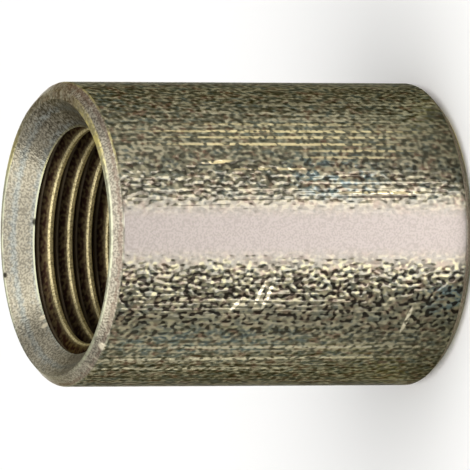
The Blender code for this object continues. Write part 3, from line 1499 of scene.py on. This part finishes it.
    def cut_thread(self, blank: bpy.types.Object, tap: bpy.types.Object) -> None:
        """Cut the threaded bore right through the blank and drop the tap.

        Args:
            blank: The turned blank.
            tap: The solid tap.
        """
        bpy.ops.object.select_all(action="DESELECT")
        bpy.context.view_layer.objects.active = blank
        blank.select_set(True)
        cut = blank.modifiers.new("Thread", "BOOLEAN")
        cut.operation = "DIFFERENCE"
        cut.solver = "EXACT"
        cut.object = tap
        bpy.ops.object.modifier_apply(modifier=cut.name)
        bpy.data.objects.remove(tap, do_unlink=True)
        bpy.ops.object.shade_smooth_by_angle(angle=math.radians(self.crease))

    def build(self) -> bpy.types.Object:
        """Model and dress the sleeve.

        Returns:
            The finished piece.
        """
        sleeve = self.turn_blank()
        self.cut_thread(sleeve, self.make_tap())
        sleeve.data.materials.clear()
        sleeve.data.materials.append(self.coat.make(self))
        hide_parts("pipe_socket")
        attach(sleeve, "root")
        LOG.info("%s: %d faces", sleeve.name, len(sleeve.data.polygons))
        return sleeve


@dataclass(frozen=True)
class Lamp:
    """A soft rectangular lamp.

    Args:
        name: What the lamp is for.
        place: Its centre.
        aim: The point that it faces.
        width: Width across, level with the floor.
        height: The other side.
        radiance: Brightness of its face, where 1 is white.
        tint: Its colour.
    """

    name: str
    place: tuple[float, float, float]
    aim: tuple[float, float, float]
    width: float
    height: float
    radiance: float
    tint: Colour = WHITE

    def hang(self) -> None:
        """Hang the lamp in the scene."""
        away = (Vector(self.place) - Vector(self.aim)).normalized()
        light = bpy.data.lights.new(self.name, "AREA")
        light.shape = "RECTANGLE"
        light.size = self.width
        light.size_y = self.height
        light.energy = self.radiance * math.pi * self.width * self.height
        light.color = self.tint
        lamp = bpy.data.objects.new(self.name, light)
        lamp.location = self.place
        lamp.rotation_euler = away.to_track_quat("Z", "Y").to_euler()
        lamp.visible_camera = False
        bpy.context.scene.collection.objects.link(lamp)


@dataclass(frozen=True)
class LightTable:
    """Light panels let into the floor in a fan, which give the barrel its long highlight.

    Args:
        name: What the fan is for.
        azimuth: Direction from the sleeve, in degrees from the camera's side towards +X.
        spread: Half the fan's angle, in degrees.
        radiance: Brightness of the panels, where 1 is white.
        tint: Their colour.
        reach: Distances from the axis at which the panels meet, in millimetres.
        pinch: How fast the fan narrows towards the barrel, whose round side widens what is near.
        above_floor: Height of the panels.
    """

    name: str
    azimuth: float
    spread: float
    radiance: float
    tint: Colour = WHITE
    reach: tuple[float, ...] = (14.0, 18.0, 24.0, 34.0, 52.0, 80.0, 125.0, 200.0, 350.0)
    pinch: float = 6.5 * MM
    above_floor: float = 0.5 * MM

    def panels(self) -> list[Lamp]:
        """Return the fan's panels.

        Returns:
            The panels, from the nearest to the farthest.
        """
        turn = math.radians(self.azimuth)
        edges = [distance * MM for distance in self.reach]
        lamps = []
        for number, (near, far) in enumerate(zip(edges, edges[1:])):
            distance = (near + far) / 2.0
            across, along = math.sin(turn) * distance, -math.cos(turn) * distance
            half = math.radians(self.spread) * (1.0 - self.pinch / distance)
            lamps.append(
                Lamp(
                    name=f"{self.name}_{number}",
                    place=(across, along, self.above_floor),
                    aim=(across, along, 1.0),
                    width=2.0 * math.tan(half) * distance,
                    height=far - near,
                    radiance=self.radiance,
                    tint=self.tint,
                )
            )
        return lamps

    def hang(self) -> None:
        """Hang each panel, turned in line with the fan."""
        for lamp in self.panels():
            lamp.hang()
            bpy.data.objects[lamp.name].rotation_euler = (math.pi, 0.0, math.radians(self.azimuth))


@dataclass
class Studio:
    """The pale floor, the soft lamps, the surround and the camera.

    Args:
        centre: The middle of the sleeve.
        elevation: Height of the camera above the horizon, in degrees.
        distance: Distance of the camera from the sleeve's middle.
        lens: Focal length, in millimetres.
        aim_right: How far the view's middle lies right of the sleeve's middle.
        aim_up: How far the view's middle lies above the sleeve's middle.
        floor_size: Side of the floor.
        floor_colour: Colour of the floor.
        horizon: Brightness of the surround near the horizon.
        ceiling: Brightness of the surround above.
        wall_rise: Heights at which the walls start to dim and are as dim as the ceiling.
        lamps: The lamps.
        tables: The light panels in the floor.
    """

    centre: Vector
    elevation: float = 23.6
    distance: float = 1.065
    lens: float = 938.0
    aim_right: float = -0.03 * MM
    aim_up: float = -0.067 * MM
    floor_size: float = 6.0
    floor_colour: Colour = (0.97, 0.97, 0.97)
    horizon: float = 1.0
    ceiling: float = 0.3
    wall_rise: Span = (0.1, 0.6)
    lamps: tuple[Lamp, ...] = (
        Lamp("overhead", (0.0, -0.30, 0.90), (0.0, 0.0, 0.0), 2.3, 1.1, 1.75, (1.0, 0.99, 0.97)),
    )
    tables: tuple[LightTable, ...] = (
        LightTable("front_table", 0.3, 29.5, 11.4, (0.95, 0.88, 1.08)),
        LightTable("right_table", 68.0, 10.0, 1.6),
        LightTable("left_table", -94.0, 8.0, 1.6),
        LightTable("back_table", 180.0, 21.0, 2.5),
    )

    def lay_floor(self) -> bpy.types.Object:
        """Lay the floor: one flat pale sheet.

        Returns:
            The floor.
        """
        bpy.ops.object.select_all(action="DESELECT")
        bpy.ops.mesh.primitive_plane_add(size=self.floor_size, location=(0.0, 0.0, 0.0))
        floor = bpy.context.object
        floor.name = "floor"
        floor.data.materials.append(self.floor_paint())
        LOG.info("%s: %.1f m square", floor.name, self.floor_size)
        return floor

    def floor_paint(self) -> bpy.types.Material:
        """Make the floor's plain white paint.

        Returns:
            The material.
        """
        bench = Bench(bpy.data.materials.new("floor_paint"))
        matt = bench.node("ShaderNodeBsdfDiffuse", sockets={"Color": self.floor_colour})
        bench.node("ShaderNodeOutputMaterial", sockets={"Surface": matt.outputs[0]})
        return bench.owner

    def surround(self) -> None:
        """Set the world: pale walls at the horizon under a dimmer ceiling."""
        bench = Bench(bpy.data.worlds.new("surround"))
        place = bench.node("ShaderNodeTexCoord").outputs["Generated"]
        parts = bench.node("ShaderNodeSeparateXYZ", sockets={0: place})
        low, high = self.wall_rise
        level = bench.node(
            "ShaderNodeMapRange",
            {"interpolation_type": "SMOOTHSTEP"},
            {
                "Value": parts.outputs["Z"],
                "From Min": low,
                "From Max": high,
                "To Min": self.horizon,
                "To Max": self.ceiling,
            },
        )
        walls = bench.node(
            "ShaderNodeBackground", sockets={"Color": WHITE, "Strength": level.outputs["Result"]}
        )
        bench.node("ShaderNodeOutputWorld", sockets={"Surface": walls.outputs[0]})
        bpy.context.scene.world = bench.owner

    def set_camera(self) -> None:
        """Place the camera on the photograph's line of sight, rolled a quarter turn."""
        rise = math.radians(self.elevation)
        back = Vector((0.0, -math.cos(rise), math.sin(rise)))
        up = Vector((1.0, 0.0, 0.0))
        right = up.cross(back)
        camera = bpy.data.objects.new("camera", bpy.data.cameras.new("camera"))
        camera.data.lens = self.lens
        camera.data.clip_start = 0.05
        camera.data.clip_end = 20.0
        turn = Matrix((right, up, back)).transposed()
        place = self.centre + back * self.distance + right * self.aim_right + up * self.aim_up
        camera.matrix_world = Matrix.Translation(place) @ turn.to_4x4()
        bpy.context.scene.collection.objects.link(camera)
        bpy.context.scene.camera = camera

    def build(self) -> None:
        """Set up the whole studio."""
        self.set_camera()
        self.lay_floor()
        self.surround()
        for lamp in self.lamps + self.tables:
            lamp.hang()
            LOG.info("lamp %s", lamp.name)
        bpy.context.scene.view_settings.view_transform = "Standard"


def main() -> None:
    """Load the frame, build the sleeve and the studio, and note the sizes."""
    logging.basicConfig(level=logging.INFO, format="%(name)s: %(message)s")
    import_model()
    low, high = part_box("pipe_socket")
    LOG.info("packed sleeve: %.4f m across, %.4f m long", high.x - low.x, high.z - low.z)
    Studio(centre=(low + high) / 2.0).build()
    PipeSocket(outer_radius=high.x, length=high.z).build()


if __name__ == "__main__":
    main()
